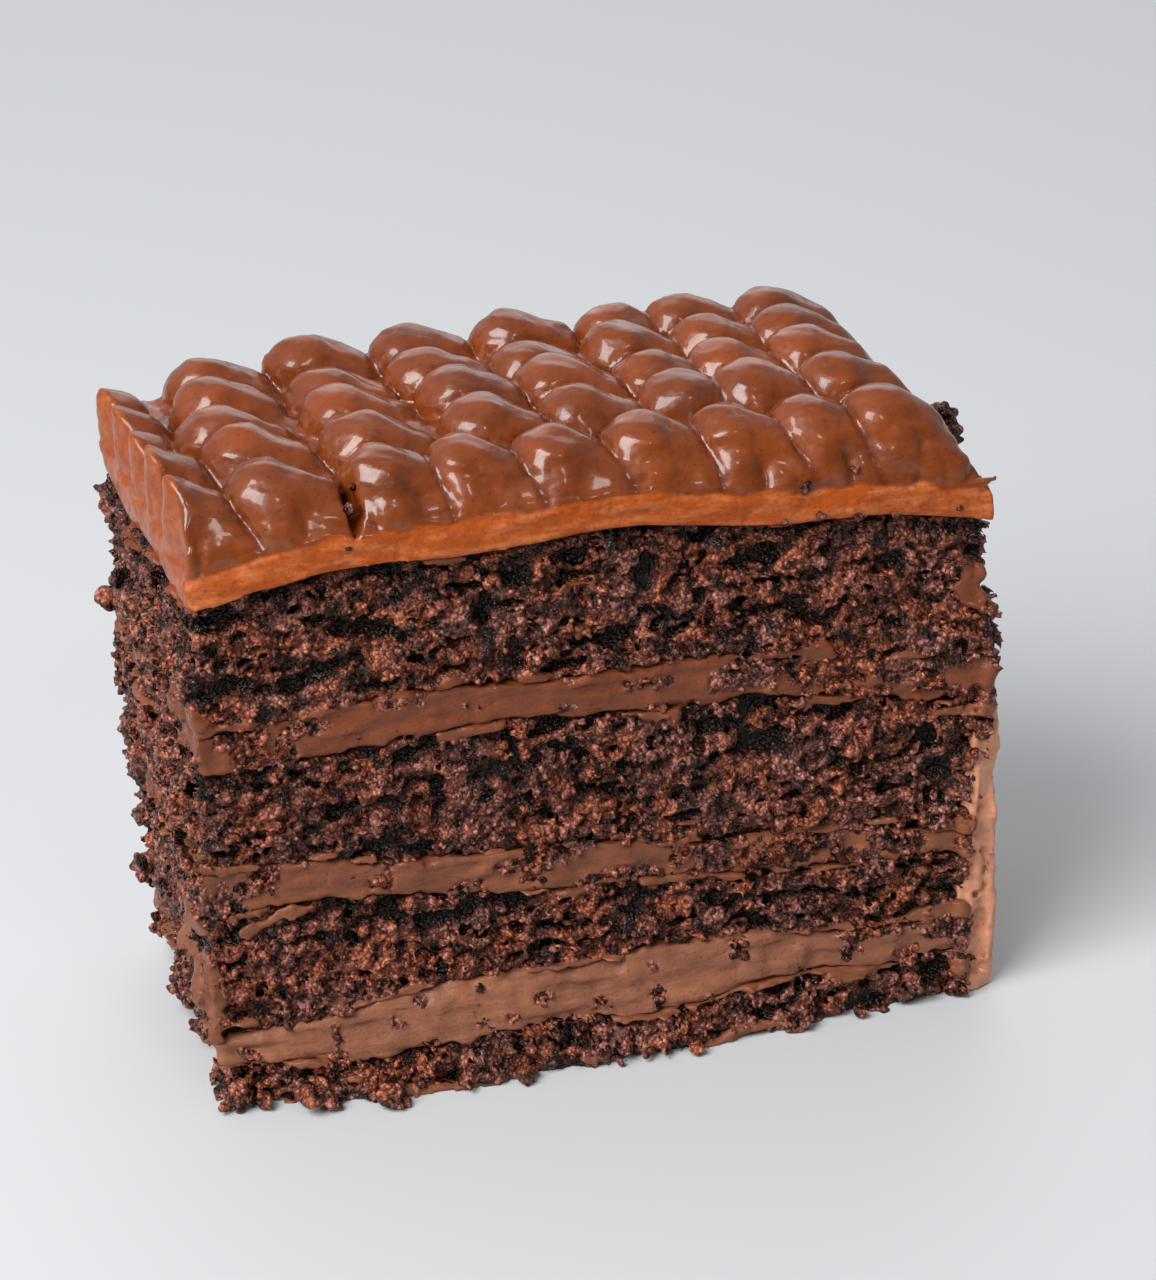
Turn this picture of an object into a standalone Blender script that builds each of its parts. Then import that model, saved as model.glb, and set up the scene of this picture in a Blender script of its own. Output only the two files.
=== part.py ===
"""A tall slice of chocolate layer cake under a piped blanket of frosting.

Four sponge layers and three fillings run through the slice from cut to cut.
Rows of overlapping piped dollops cover the top, and what is left of the
cake's outer frosting clings to the right-hand side.

Frame: metres, +Z up, origin in the middle of the footprint at the underside.
+X runs to the right along the long front cut, and +Y from front to back.
Inside the helpers, places are measured in the slice's own layout: x from the
left cut, y from the front cut and z from the underside.
"""
import math
import random

import bmesh
import bpy
import numpy as np

# --- driving dimensions ----------------------------------------------------
WIDTH = 0.115
DEPTH = 0.0493
CAKE_HEIGHT = 0.0842
FROSTING_BASE = 0.005
CREST_HEIGHT = 0.098
TOUCH_GAP = 0.0003

# Height of the top of each layer at the left cut, mid-width and the right side
LAYER_TOPS = {
    "bottom_sponge": (0.0063, 0.0069, 0.0083),
    "lower_filling": (0.0108, 0.0155, 0.0126),
    "lower_sponge": (0.0328, 0.0282, 0.0234),
    "middle_filling": (0.0385, 0.0340, 0.0280),
    "middle_sponge": (0.0537, 0.0558, 0.0490),
    "upper_filling": (0.0602, 0.0622, 0.0552),
    "top_sponge": (0.0808, CAKE_HEIGHT, 0.0786),
}

# The layers' gentle waves, from the weight of the cake on soft filling
WAVE_HEIGHT = 0.0005
WAVE_LENGTH_X = 0.041
WAVE_LENGTH_Y = 0.033

# The cut and outer faces
LEFT_LEAN = 0.0028
LEFT_TUCK = 0.0035
FOOT_FLARE = 0.005
FOOT_HEIGHT = 0.014
SIDE_SWELL = 0.0028
SIDE_SWELL_HEIGHT = 0.055
SIDE_SWELL_SPREAD = 0.012

# Piped dollops: a round head with a tail drawn out to the right and forward
FRONT_ROW = (0.000, 0.015, 0.030, 0.042, 0.056, 0.068, 0.080, 0.091, 0.103)
BACK_COLUMNS = (-0.001, 0.015, 0.032, 0.048, 0.062, 0.076, 0.088, 0.1005)
ROW_PLACES = (0.0083, 0.0195, 0.0290, 0.0380, 0.0470)
ROW_DRIFT = 0.0007
HEAD_RADIUS = 0.0060
BALLS_PER_LOBE = 7
PLACE_SCATTER = 0.0007

# Between the dollops the frosting fills up to this depth over the sponge, and
# rounds down to the knife-cut band at the front and to the rim on the right
FILLED_DEPTH = 0.0086
EDGE_ROUNDING = 0.0037

# The outer frosting left on the right-hand side
COAT_FOOT = 0.0046
COAT_RIM = 0.0016
COAT_FRONT_HEIGHT = 0.040
COAT_BACK_HEIGHT = 0.071
COAT_INSET = 0.0006

# Mesh fineness
LAYER_COLUMNS = 16
LAYER_ROWS = 7
FROSTING_STEP = 4
COAT_ROWS = 12
COAT_COURSES = 10
RANDOM_SEED = 7

COLOURS = {
    "sponge": ((0.030, 0.010, 0.006), 0.75),
    "filling": ((0.075, 0.026, 0.012), 0.45),
    "frosting": ((0.150, 0.045, 0.018), 0.30),
    "side_coat": ((0.170, 0.065, 0.030), 0.45),
}


# --- small helpers -----------------------------------------------------------
def smooth_step(value):
    """Ease from 0 to 1 as value goes from 0 to 1."""
    t = np.clip(value, 0.0, 1.0)
    return t * t * (3.0 - 2.0 * t)


def bow(x, heights):
    """The even curve through three heights: left cut, mid-width, right side."""
    left, middle, right = heights
    t = x / WIDTH
    return (
        left * (1.0 - t) * (1.0 - 2.0 * t)
        + middle * 4.0 * t * (1.0 - t)
        - right * t * (1.0 - 2.0 * t)
    )


def layer_top(name, x, y):
    """Height of a layer's upper side over the slice."""
    phase = 1.7 * list(LAYER_TOPS).index(name)
    turn = 2.0 * math.pi * (x / WAVE_LENGTH_X + y / WAVE_LENGTH_Y) + phase
    return bow(x, LAYER_TOPS[name]) + WAVE_HEIGHT * np.sin(turn)


# --- the slice's outer faces ---------------------------------------------------
def left_face(y, z):
    """The left cut leans out towards its back top edge and tucks in at the foot."""
    lean = LEFT_LEAN * (y / DEPTH) * smooth_step(z / CAKE_HEIGHT)
    tuck = LEFT_TUCK * (1.0 - smooth_step(z / FOOT_HEIGHT))
    return tuck - lean


def right_face(z):
    """The outer side swells where no frosting holds it."""
    rise = (z - SIDE_SWELL_HEIGHT) / SIDE_SWELL_SPREAD
    return WIDTH + SIDE_SWELL * np.exp(-rise * rise)


def front_face(x, z):
    """The front cut flares forward at the foot, most of all left of the middle."""
    bulge = np.sin(math.pi * np.clip(x / WIDTH, 0.0, 1.0) ** 0.7)
    return -FOOT_FLARE * bulge * (1.0 - smooth_step(z / FOOT_HEIGHT))


def place(u, v, z):
    """The point a share u across and v into the slice, at height z."""
    y_flat = v * DEPTH
    x_flat = u * WIDTH
    x = left_face(y_flat, z) * (1.0 - u) + right_face(z) * u
    y = front_face(x_flat, z) * (1.0 - v) + DEPTH * v
    return (float(x), float(y), float(z))


# --- the solids -----------------------------------------------------------------
def rim_cells(columns, rows):
    """The grid's border points in order, counter-clockwise from above."""
    front = [(i, 0) for i in range(columns)]
    right = [(columns, j) for j in range(rows)]
    back = [(i, rows) for i in range(columns, 0, -1)]
    left = [(0, j) for j in range(rows, 0, -1)]
    return front + right + back + left


def cell_halves(i, j):
    """A grid cell's two triangles, cut along the same diagonal everywhere."""
    near, right, far, left = (i, j), (i + 1, j), (i + 1, j + 1), (i, j + 1)
    return (near, right, far), (near, far, left)


def add_walls(mesh, rings):
    """Join rings of points, lowest first, with quads that face outwards."""
    for low, high in zip(rings, rings[1:]):
        count = len(low)
        for k in range(count):
            after = (k + 1) % count
            mesh.faces.new((low[k], low[after], high[after], high[k]))


def make_layer(name, floor, courses):
    """A layer between the height function floor and its own upper side."""
    mesh = bmesh.new()
    columns, rows = LAYER_COLUMNS, LAYER_ROWS

    def height(i, j, share):
        x = i / columns * WIDTH
        y = j / rows * DEPTH
        low = floor(x, y)
        high = layer_top(name, x, y) - TOUCH_GAP / 2.0
        return low + (high - low) * share

    def point(i, j, share):
        return mesh.verts.new(place(i / columns, j / rows, height(i, j, share)))

    cells = [(i, j) for i in range(columns + 1) for j in range(rows + 1)]
    bottom = {cell: point(*cell, 0.0) for cell in cells}
    top = {cell: point(*cell, 1.0) for cell in cells}
    for i in range(columns):
        for j in range(rows):
            for corners in cell_halves(i, j):
                mesh.faces.new([top[c] for c in corners])
                mesh.faces.new([bottom[c] for c in reversed(corners)])
    rim = rim_cells(columns, rows)
    rings = [[bottom[c] for c in rim]]
    for course in range(1, courses):
        rings.append([point(*c, course / courses) for c in rim])
    rings.append([top[c] for c in rim])
    add_walls(mesh, rings)
    return mesh


def dollop_balls(x, y, crest, size):
    """Balls along a dollop's three lobes: (x, y, z, radius) for each.

    The ridge leads from the head to the right, the front lobe slopes down
    towards the cut, and the tail runs off to the right and forward. A soft
    groove is left between the front lobe and the tail.
    """
    radius = HEAD_RADIUS * size
    middle = crest - radius
    head = (x - 0.0014, y, middle, radius * 1.04)
    shoulder = (x + 0.0046, y - 0.0009, middle - 0.0019, radius * 0.92)
    foot = (x - 0.0006, y - 0.0054, middle - 0.0044, radius * 0.80)
    tip = (x + 0.0110, y - 0.0060, middle - 0.0052, radius * 0.52)
    balls = []
    for start, end in ((head, shoulder), (head, foot), (shoulder, tip)):
        for step in np.linspace(0.0, 1.0, BALLS_PER_LOBE):
            balls.append([a + (b - a) * step for a, b in zip(start, end)])
    return balls


def piped_balls():
    """All the balls of the rows of dollops that cover the top."""
    scatter = random.Random(RANDOM_SEED)
    balls = []
    for row, row_place in enumerate(ROW_PLACES):
        for column_place in FRONT_ROW if row == 0 else BACK_COLUMNS:
            x = column_place - ROW_DRIFT * max(row - 1, 0) + scatter.gauss(0.0, PLACE_SCATTER)
            y = row_place + scatter.gauss(0.0, PLACE_SCATTER) * min(row, 1)
            crest = CREST_HEIGHT + scatter.gauss(0.0, PLACE_SCATTER / 2.0)
            balls.extend(dollop_balls(x, y, crest, scatter.uniform(0.94, 1.05)))
    return np.array(balls)


def filled_level(x, y):
    """Height of the frosting between the dollops."""
    to_edge = np.clip(np.minimum(y, WIDTH - x), 0.0, EDGE_ROUNDING)
    drop = (EDGE_ROUNDING - to_edge) ** 2 / EDGE_ROUNDING
    depth = np.maximum(FILLED_DEPTH - drop, FROSTING_BASE)
    return layer_top("top_sponge", x, y) + depth


def frosting_top(x, y, balls):
    """Height of the frosting's upper side over arrays of points."""
    ground = filled_level(x, y)
    # Each ball is drawn a little wide and deep, so that its flank slopes
    wide = balls[:, 3] * 1.12
    away = np.hypot(x[:, None] - balls[:, 0], y[:, None] - balls[:, 1]) / wide
    round_part = np.sqrt(np.clip(1.0 - away ** 2, 0.0, None))
    domes = balls[:, 2] + balls[:, 3] * (1.35 * round_part - 0.35)
    domes = np.where(away < 1.0, domes, 0.0)
    piped = np.maximum(domes.max(axis=1), ground)
    rim = smooth_step((WIDTH - x) / EDGE_ROUNDING)
    return ground + (piped - ground) * rim


def make_frosting():
    """The top frosting: a flat-sided base that carries the piped dollops."""
    mesh = bmesh.new()
    columns = LAYER_COLUMNS * FROSTING_STEP
    rows = LAYER_ROWS * FROSTING_STEP
    cells = [(i, j) for i in range(columns + 1) for j in range(rows + 1)]
    x = np.array([i / columns * WIDTH for i, j in cells])
    y = np.array([j / rows * DEPTH for i, j in cells])
    tops = frosting_top(x, y, piped_balls())
    floors = layer_top("top_sponge", x, y) + TOUCH_GAP / 2.0
    top = {}
    for (i, j), height in zip(cells, tops):
        top[(i, j)] = mesh.verts.new(place(i / columns, j / rows, height))
    floor = dict(zip(cells, floors))
    bottom = {}

    def bottom_point(cell):
        if cell not in bottom:
            share = (cell[0] / columns, cell[1] / rows)
            bottom[cell] = mesh.verts.new(place(*share, floor[cell]))
        return bottom[cell]

    for i in range(columns):
        for j in range(rows):
            corners = ((i, j), (i + 1, j), (i + 1, j + 1), (i, j + 1))
            mesh.faces.new([top[c] for c in corners])
    # The hidden underside needs only the sponge's own coarse cells, each in two
    # halves; along the rim they keep the fine points of the walls
    rim = rim_cells(columns, rows)
    on_rim = set(rim)
    around = rim_cells(FROSTING_STEP, FROSTING_STEP)
    halfway = len(around) // 2
    halves = (around[:halfway + 1], around[halfway:] + around[:1])
    for i in range(0, columns, FROSTING_STEP):
        for j in range(0, rows, FROSTING_STEP):
            for half in halves:
                outline = [(i + a, j + b) for a, b in reversed(half)]
                kept = [
                    c for c in outline
                    if c in on_rim or (c[0] % FROSTING_STEP == 0 and c[1] % FROSTING_STEP == 0)
                ]
                mesh.faces.new([bottom_point(c) for c in kept])
    add_walls(mesh, [[bottom[c] for c in rim], [top[c] for c in rim]])
    return mesh


def make_side_coat():
    """The outer frosting: thick at the foot, torn off thin along its rim."""
    mesh = bmesh.new()
    rows, courses = COAT_ROWS, COAT_COURSES
    front = COAT_INSET
    back = DEPTH - COAT_INSET

    def rim_height(v):
        rise = smooth_step(v * 1.15)
        wave = 0.0018 * math.sin(v * 17.0) * (1.0 - v)
        return COAT_FRONT_HEIGHT + (COAT_BACK_HEIGHT - COAT_FRONT_HEIGHT) * rise + wave

    def point(j, k, outer):
        v = j / rows
        share = k / courses
        z = rim_height(v) * share
        y = front + (back - front) * v
        thickness = COAT_FOOT + (COAT_RIM - COAT_FOOT) * share ** 3
        ripple = 0.0004 * math.sin(9.0 * share + 5.0 * v)
        x = right_face(z) + TOUCH_GAP
        if outer:
            x += thickness + ripple
        return mesh.verts.new((float(x), y, float(z)))

    cells = [(j, k) for j in range(rows + 1) for k in range(courses + 1)]
    inner = {cell: point(*cell, False) for cell in cells}
    outer = {cell: point(*cell, True) for cell in cells}
    for j in range(rows):
        for k in range(courses):
            corners = ((j, k), (j + 1, k), (j + 1, k + 1), (j, k + 1))
            mesh.faces.new([outer[c] for c in corners])
            mesh.faces.new([inner[c] for c in reversed(corners)])
    rim = rim_cells(rows, courses)
    add_walls(mesh, [[inner[c] for c in rim], [outer[c] for c in rim]])
    return mesh


# --- objects and their finishes -------------------------------------------------
def make_material(name):
    colour, roughness = COLOURS[name]
    material = bpy.data.materials.new(name)
    material.use_nodes = True
    shader = material.node_tree.nodes["Principled BSDF"]
    shader.inputs["Base Color"].default_value = (*colour, 1.0)
    shader.inputs["Roughness"].default_value = roughness
    shader.inputs["Metallic"].default_value = 0.0
    return material


def add_object(name, mesh, finish):
    """Turn a finished bmesh into a named object with its own material."""
    data = bpy.data.meshes.new(name)
    mesh.normal_update()
    mesh.to_mesh(data)
    mesh.free()
    data.materials.append(make_material(finish))
    obj = bpy.data.objects.new(name, data)
    bpy.context.scene.collection.objects.link(obj)
    return obj


def stand_on_origin(objects):
    """Put the middle of the whole footprint on the origin."""
    corners = [v.co for obj in objects for v in obj.data.vertices]
    middle_x = (min(c.x for c in corners) + max(c.x for c in corners)) / 2.0
    middle_y = (min(c.y for c in corners) + max(c.y for c in corners)) / 2.0
    for obj in objects:
        obj.location = (-middle_x, -middle_y, 0.0)


def build():
    for obj in list(bpy.data.objects):
        bpy.data.objects.remove(obj, do_unlink=True)
    objects = []
    below = None
    for name in LAYER_TOPS:
        if below is None:
            def floor(x, y):
                return 0.0
        else:
            def floor(x, y, lower=below):
                return layer_top(lower, x, y) + TOUCH_GAP / 2.0
        finish = "filling" if name.endswith("filling") else "sponge"
        courses = 1 if finish == "filling" else 2
        objects.append(add_object(name, make_layer(name, floor, courses), finish))
        below = name
    objects.append(add_object("top_frosting", make_frosting(), "frosting"))
    objects.append(add_object("side_frosting", make_side_coat(), "side_coat"))
    for obj in objects:
        obj.data.shade_smooth()
        obj.data.set_sharp_from_angle(angle=math.radians(50.0))
    stand_on_origin(objects)


build()
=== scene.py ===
# %% [markdown]
# # A slice of chocolate layer cake
# This lesson builds the looks of one tall slice of chocolate cake around a
# finished design model. The design gives every layer its place and size, and
# hides when a detailed piece stands for it. We make the crumb, the soft
# fillings, the piped frosting and the crumbs that cling to them, and then the
# camera and the lights.
#
# Crumbs are measured in tenths of a millimetre, so the whole lesson works on a
# bench marked in millimetres. Only the last step of each piece turns its points
# into metres.

# %% Load the design and remember its size
import math
import random

import bpy
import numpy as np
from mathutils import Matrix, Vector
from mathutils.bvhtree import BVHTree


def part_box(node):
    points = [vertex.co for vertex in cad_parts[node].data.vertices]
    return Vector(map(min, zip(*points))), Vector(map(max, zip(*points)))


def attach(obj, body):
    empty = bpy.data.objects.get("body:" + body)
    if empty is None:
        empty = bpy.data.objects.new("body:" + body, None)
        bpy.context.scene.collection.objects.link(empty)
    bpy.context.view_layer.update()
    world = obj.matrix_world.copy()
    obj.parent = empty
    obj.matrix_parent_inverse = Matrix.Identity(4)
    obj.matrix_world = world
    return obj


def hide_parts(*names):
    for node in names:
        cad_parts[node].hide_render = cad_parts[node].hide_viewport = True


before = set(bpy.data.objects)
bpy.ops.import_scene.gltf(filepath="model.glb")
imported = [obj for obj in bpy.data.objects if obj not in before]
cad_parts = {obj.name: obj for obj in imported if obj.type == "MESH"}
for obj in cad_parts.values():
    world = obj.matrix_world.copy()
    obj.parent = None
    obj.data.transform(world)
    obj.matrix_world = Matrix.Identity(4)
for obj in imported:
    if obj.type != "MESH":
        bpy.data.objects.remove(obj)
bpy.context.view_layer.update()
MM = 0.001
SPONGES = ("bottom_sponge", "lower_sponge", "middle_sponge", "top_sponge")
FILLINGS = ("lower_filling", "middle_filling", "upper_filling")
print("nodes in the design:", sorted(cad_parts))

# %% [markdown]
# ## Feeling the cake's faces
# A real slice is never a perfect block. Its cuts lean, its foot spreads and its
# layers sag. We could type those shapes in again, but the design already holds
# them, so we feel for them with rays, as a hand would run over the cake. The
# answers go into small height maps, and a blend between the four nearest
# readings gives the face anywhere between them.

# %% A feeler for the design's solids
def solid_of(*names):
    """One ray-testing tree, in millimetres, for several design nodes."""
    points, faces = [], []
    for name in names:
        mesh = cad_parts[name].data
        first = len(points)
        points += [v.co / MM for v in mesh.vertices]
        faces += [[first + i for i in face.vertices] for face in mesh.polygons]
    return BVHTree.FromPolygons(points, faces)


def feel(tree, start, toward):
    """Where a ray first meets the solid, or None."""
    return tree.ray_cast(Vector(start), Vector(toward))[0]


def blend_map(grid, a, b, beyond=False):
    """Read a height map at shares a and b of its sides, from 0 to 1."""
    rows, columns = grid.shape
    a = np.asarray(a, np.float32) * (rows - 1)
    b = np.asarray(b, np.float32) * (columns - 1)
    i = np.clip(np.floor(a), 0, rows - 2).astype(int)
    j = np.clip(np.floor(b), 0, columns - 2).astype(int)
    s, t = a - i, b - j
    if not beyond:
        s, t = np.clip(s, 0, 1), np.clip(t, 0, 1)
    near = grid[i, j] * (1 - t) + grid[i, j + 1] * t
    far = grid[i + 1, j] * (1 - t) + grid[i + 1, j + 1] * t
    return near * (1 - s) + far * s


# %% Where the slice's own corner lies
cake = solid_of(*SPONGES, *FILLINGS)
icing_low, icing_high = (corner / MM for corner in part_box("top_frosting"))
coat_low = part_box("side_frosting")[0] / MM
FRONT = icing_low.y
DEEP = icing_high.y - icing_low.y
LEFT = feel(cake, (icing_low.x - 30, FRONT + 1, 30), (1, 0, 0)).x
WIDE = coat_low.x - 0.3 - LEFT
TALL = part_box("top_sponge")[1].z / MM
print(f"front cut {WIDE:.1f} mm wide, slice {DEEP:.1f} mm deep, cake {TALL:.1f} mm tall")

# %% Height maps of the four upright faces
WALL_FOOT, WALL_HEAD = 1.0, 76.0
WALL_LEVELS, WALL_STEPS = 46, 24
WALL_MARGIN = 0.03
REACH = 40.0


def wall_map(axis, side):
    """How far out a wall lies, by share along it and by height."""
    grid = np.zeros((WALL_STEPS, WALL_LEVELS), np.float32)
    for s in range(WALL_STEPS):
        along = WALL_MARGIN + (1 - 2 * WALL_MARGIN) * s / (WALL_STEPS - 1)
        for level in range(WALL_LEVELS):
            z = WALL_FOOT + (WALL_HEAD - WALL_FOOT) * level / (WALL_LEVELS - 1)
            found = []
            # Two rays, because one might slip through the gap between two layers
            for dz in (-0.5, 0.5):
                if axis == "x":
                    far = LEFT - REACH if side < 0 else LEFT + WIDE + REACH
                    hit = feel(cake, (far, FRONT + along * DEEP, z + dz), (-side, 0, 0))
                    found.append(hit.x)
                else:
                    far = FRONT - REACH if side < 0 else FRONT + DEEP + REACH
                    hit = feel(cake, (LEFT + along * WIDE, far, z + dz), (0, -side, 0))
                    found.append(hit.y)
            grid[s, level] = max(found, key=lambda reading: reading * side)
    return grid


WALLS = {
    "left": wall_map("x", -1),
    "right": wall_map("x", 1),
    "front": wall_map("y", -1),
    "back": wall_map("y", 1),
}
print("the foot spreads forward by", round(FRONT - float(WALLS["front"].min()), 1), "mm")

# %% Height maps of the layers' upper and lower sides
MAP_EDGE = 6.0
MAP_COLUMNS, MAP_ROWS = 24, 10
FAR_OFF = 200.0


def level_map(name, side):
    """The upper (1) or lower (-1) side of a layer, inside a margin."""
    tree = solid_of(name)
    grid = np.zeros((MAP_COLUMNS, MAP_ROWS), np.float32)
    for i in range(MAP_COLUMNS):
        x = LEFT + MAP_EDGE + (WIDE - 2 * MAP_EDGE) * i / (MAP_COLUMNS - 1)
        for j in range(MAP_ROWS):
            y = FRONT + MAP_EDGE + (DEEP - 2 * MAP_EDGE) * j / (MAP_ROWS - 1)
            grid[i, j] = feel(tree, (x, y, FAR_OFF * side), (0, 0, -side)).z
    return grid


LEVELS = {}
for layer_name in SPONGES + FILLINGS:
    LEVELS[layer_name] = (level_map(layer_name, -1), level_map(layer_name, 1))


def level(name, side, x, y):
    """A layer's lower (0) or upper (1) side over points of the flat layout."""
    a = (x - MAP_EDGE) / (WIDE - 2 * MAP_EDGE)
    b = (y - MAP_EDGE) / (DEEP - 2 * MAP_EDGE)
    return blend_map(LEVELS[name][side], a, b, beyond=True)


for layer_name in SPONGES + FILLINGS:
    low, high = (float(grid.mean()) for grid in LEVELS[layer_name])
    print(f"{layer_name:16s} from {low:5.1f} to {high:5.1f} mm")

# %% [markdown]
# ## A flat layout
# All the shaping happens in a flat layout, where the slice is a true box: x
# runs from the left cut, y from the front cut, and z up from the plate. One
# function then sets finished points on the real, leaning faces. Distances
# hardly change on the way, so crumbs stay the size they were made.

# %% From the flat layout to the design's own place
def settle(points):
    """Move flat-layout points in millimetres to their places in metres."""
    x, y, z = points[..., 0], points[..., 1], points[..., 2]
    u, v = x / WIDE, y / DEEP
    a, b = ((share - WALL_MARGIN) / (1 - 2 * WALL_MARGIN) for share in (u, v))
    height = (z - WALL_FOOT) / (WALL_HEAD - WALL_FOOT)
    left, right = (blend_map(WALLS[side], b, height) for side in ("left", "right"))
    front, back = (blend_map(WALLS[side], a, height) for side in ("front", "back"))
    placed = (left * (1 - u) + right * u, front * (1 - v) + back * v, z)
    return np.stack(placed, -1) * MM


def inside_outline(x, y, corner):
    """Distance from the slice's outline in plan, negative inside it."""
    qx = np.abs(x - WIDE / 2) - (WIDE / 2 - corner)
    qy = np.abs(y - DEEP / 2) - (DEEP / 2 - corner)
    outer = np.hypot(np.maximum(qx, 0), np.maximum(qy, 0))
    return outer + np.minimum(np.maximum(qx, qy), 0) - corner


# %% [markdown]
# ## Soft randomness
# Baking leaves nothing regular. We need randomness that changes smoothly from
# place to place and comes out the same every time. A block of random numbers,
# read with a smooth blend between its cells, does both: a large cell size gives
# lumps and dents, a small one gives grain.

# %% Noise that fills space
TABLE = 64
tables = {}


def table(seed):
    """A block of random numbers that wraps round at its sides."""
    if seed not in tables:
        generator = np.random.default_rng(seed)
        tables[seed] = generator.random((TABLE, TABLE, TABLE), np.float32)
    return tables[seed]


def noise(points, size, seed):
    """Smooth noise from -1 to 1 with lumps of about the given size."""
    scaled = points / np.asarray(size, np.float32)
    cell = np.floor(scaled)
    part = (scaled - cell).astype(np.float32)
    part = part * part * (3 - 2 * part)
    cell = cell.astype(np.int32) % TABLE
    block = table(seed)
    total = 0
    for corner in range(8):
        step = (corner & 1, corner >> 1 & 1, corner >> 2)
        weight = 1
        for k in range(3):
            weight = weight * (part[..., k] if step[k] else 1 - part[..., k])
        i, j, k = ((cell[..., k] + step[k]) % TABLE for k in range(3))
        total = total + weight * block[i, j, k]
    return total * 2 - 1


def melt(a, b, width):
    """The nearer of two distances, with the join melted over a width."""
    share = np.clip(0.5 + 0.5 * (b - a) / width, 0, 1)
    return b + (a - b) * share - width * share * (1 - share)


def ease(value):
    """Go smoothly from 0 to 1 as value does."""
    t = np.clip(value, 0, 1)
    return t * t * (3 - 2 * t)


def rod(points, start, end, start_radius, end_radius):
    """Distance to a tapered rod with round ends."""
    start, end = np.array(start, np.float32), np.array(end, np.float32)
    run = end - start
    apart = points - start
    share = np.clip((apart @ run) / (run @ run), 0, 1)
    away = apart - share[..., None] * run
    gap = np.sqrt(np.einsum("...k,...k->...", away, away))
    return gap - (start_radius + (end_radius - start_radius) * share)


# %% [markdown]
# ## From a field to a surface
# Crumb has overhangs, pores and loose grains, which a dented flat sheet can't
# show. So we describe food as a field: a number at every point in space that is
# negative inside the food. A net is then pulled over the places where the
# field changes sign. Each small cell that the surface crosses gets one point,
# at the middle of the crossings on its edges, and each crossed edge gets one
# four-sided face between the four cells round it.

# %% The net
def net(field, points, around=False):
    """Points and four-sided faces where the field crosses zero.

    The field and its points are blocks of the same shape. With around, the
    block's first side also follows its last one, as in a ring.
    """
    if around:
        field = np.concatenate([field, field[:1]])
        points = np.concatenate([points, points[:1]])
    inside = field < 0
    cells = tuple(n - 1 for n in field.shape)
    corners = [(c & 1, c >> 1 & 1, c >> 2) for c in range(8)]
    full = np.zeros(cells, np.int8)
    for c in corners:
        full += inside[tuple(slice(c[k], cells[k] + c[k]) for k in range(3))]
    number = np.full(cells, -1, np.int64)
    where = np.nonzero((full > 0) & (full < 8))
    number[where] = np.arange(len(where[0]))
    total = np.zeros((len(where[0]), 3), np.float32)
    count = np.zeros((len(where[0]), 1), np.float32)
    for c in corners:
        for axis in range(3):
            if c[axis]:
                continue
            one = tuple(where[k] + c[k] for k in range(3))
            two = tuple(one[k] + (k == axis) for k in range(3))
            crossed = np.nonzero(inside[one] != inside[two])[0]
            one = tuple(index[crossed] for index in one)
            two = tuple(index[crossed] for index in two)
            share = (field[one] / (field[one] - field[two]))[:, None]
            total[crossed] += points[one] + (points[two] - points[one]) * share
            count[crossed] += 1
    faces = []
    for axis in range(3):
        b, c = (axis + 1) % 3, (axis + 2) % 3
        low = tuple(slice(0, -1) if k == axis else slice(None) for k in range(3))
        high = tuple(slice(1, None) if k == axis else slice(None) for k in range(3))
        edge = list(np.nonzero(inside[low] != inside[high]))
        keep = np.ones(len(edge[0]), bool)
        for k in (b, c):
            if around and k == 0:
                keep &= edge[k] < cells[0]
            else:
                keep &= (edge[k] > 0) & (edge[k] < cells[k])
        edge = [index[keep] for index in edge]
        ring = []
        for db, dc in ((-1, -1), (0, -1), (0, 0), (-1, 0)):
            cell = list(edge)
            cell[b] = edge[b] + db
            cell[c] = edge[c] + dc
            if around:
                cell[0] = cell[0] % cells[0]
            ring.append(number[tuple(cell)])
        ring = np.stack(ring, 1)
        outward = ~inside[tuple(edge)]
        ring[outward] = ring[outward][:, ::-1]
        faces.append(ring)
    return total / count, np.concatenate(faces)


# %% Keep only the large islands of a net
def large_islands(points, faces, least=400):
    """The islands of at least so many points, and where those points stood before."""
    label = np.arange(len(points))
    while True:
        lower = label.copy()
        low = label[faces].min(1)
        for corner in faces.T:
            np.minimum.at(lower, corner, low)
        lower = lower[lower]
        if (lower == label).all():
            break
        label = lower
    size = np.bincount(label, minlength=len(points))
    faces = faces[size[label[faces[:, 0]]] >= least]
    used, numbers = np.unique(faces, return_inverse=True)
    return points[used], numbers.reshape(faces.shape), used


# %% Close a net's open rims
def open_rim(faces):
    """The edges that only one face uses, in that face's direction."""
    pairs = np.concatenate([faces[:, [k, (k + 1) % 4]] for k in range(4)])
    key = np.sort(pairs, 1)
    _, first, times = np.unique(key, axis=0, return_index=True, return_counts=True)
    return pairs[first[times == 1]]


def fan_to(rim, hub):
    """Triangles from every edge of a rim to the point numbered hub."""
    return np.stack([rim[:, 1], rim[:, 0], np.full(len(rim), hub)], 1)


def closing_fans(points, faces):
    """Fans over the two open rims of a ring, one high and one low."""
    open_edges = open_rim(faces)
    middle = points[:, 2].mean()
    upper = points[open_edges].mean(1)[:, 2] > middle
    hubs, fans = [], []
    for side in (upper, ~upper):
        rim = open_edges[side]
        if not len(rim):
            continue
        hub = points[rim].mean((0, 1))
        hub[:2] = WIDE / 2, DEEP / 2
        fans.append(fan_to(rim, len(points) + len(hubs)))
        hubs.append(hub)
    return np.array(hubs), np.concatenate(fans)


# %% Make Blender meshes, no heavier than they need to be
def triangles_in(piece):
    """How many triangles a piece's faces make."""
    return sum(len(face.vertices) - 2 for face in piece.data.polygons)


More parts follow.
